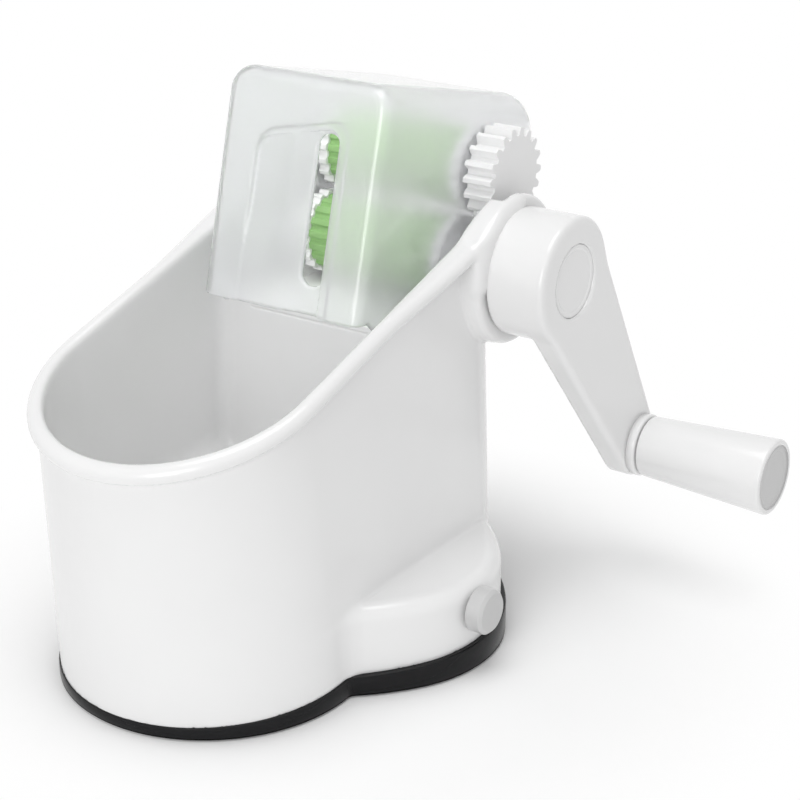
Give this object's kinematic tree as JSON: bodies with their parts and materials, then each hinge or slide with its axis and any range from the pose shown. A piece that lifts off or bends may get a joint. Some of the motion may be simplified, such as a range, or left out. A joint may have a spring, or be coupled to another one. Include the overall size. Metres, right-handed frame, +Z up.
{
  "type": "hand-cranked pea sheller",
  "caption": "White hand-cranked pea sheller with a deep bowl, frosted roller cover, green ribbed rollers, side crank with turning grip and suction foot.",
  "frame": {"origin": "centre of the round front lobe of the base, on the underside of the bottom plate", "axes": "+Z up, -Y to the front where the bowl is lowest, +X to the crank side"},
  "size_m": [0.2038, 0.2091, 0.182],
  "materials": {
    "white_plastic": "glossy",
    "pale_plastic": "satin",
    "frosted_plastic": "frosted, partly see-through",
    "green_rubber": "satin",
    "black_plastic": "matte",
    "black_rubber": "matte",
    "steel": "brushed"
  },
  "bodies": {
    "body": {"body_shell": "white_plastic", "base_ring": "black_plastic", "bottom_plate": "black_plastic", "base_screws": "steel", "suction_cup": "black_rubber", "feed_chute": "white_plastic", "roller_cover": "frosted_plastic", "cover_bushes": "pale_plastic", "ear_bushes": "pale_plastic"},
    "crank": {"lower_shaft": "steel", "lower_core": "white_plastic", "lower_sleeve": "green_rubber", "lower_gear_right": "white_plastic", "lower_gear_left": "white_plastic", "crank_arm": "white_plastic", "crank_cap": "pale_plastic", "crank_screw": "steel", "handle_collar": "white_plastic", "handle_pin": "steel", "left_cap": "white_plastic"},
    "upper_roller": {"upper_shaft": "steel", "upper_core": "white_plastic", "upper_sleeve": "green_rubber", "upper_gear_right": "white_plastic", "upper_gear_left": "white_plastic"},
    "grip": {"handle_grip": "white_plastic", "grip_end_cap": "pale_plastic"},
    "knob": {"suction_knob": "pale_plastic", "cam_shaft": "steel"},
    "stem": {"suction_stem": "pale_plastic"}
  },
  "joints": [
    {"name": "crank_turn", "type": "hinge", "parent": "body", "child": "crank", "pos_m": [0, 0.099, 0.116], "axis": [1, 0, 0], "continuous": true},
    {"name": "upper_roll", "type": "hinge", "parent": "body", "child": "upper_roller", "pos_m": [0, 0.11063, 0.14366], "axis": [1, 0, 0], "continuous": true},
    {"name": "grip_spin", "type": "hinge", "parent": "crank", "child": "grip", "pos_m": [0.08, 0.139, 0.046], "axis": [1, 0, 0], "continuous": true},
    {"name": "knob_turn", "type": "hinge", "parent": "body", "child": "knob", "pos_m": [0, 0.044, 0.021], "axis": [1, 0, 0], "range_deg": [0, 90]},
    {"name": "stem_lift", "type": "slide", "parent": "body", "child": "stem", "axis": [0, 0, 1], "range_m": [0, 0.003], "deforming": ["suction_cup"]}
  ],
  "couplings": [
    {"joint": "upper_roll", "follows": "crank_turn", "ratio": -1},
    {"joint": "knob_turn", "follows": "stem_lift", "rad_per_m": 523.6}
  ]
}
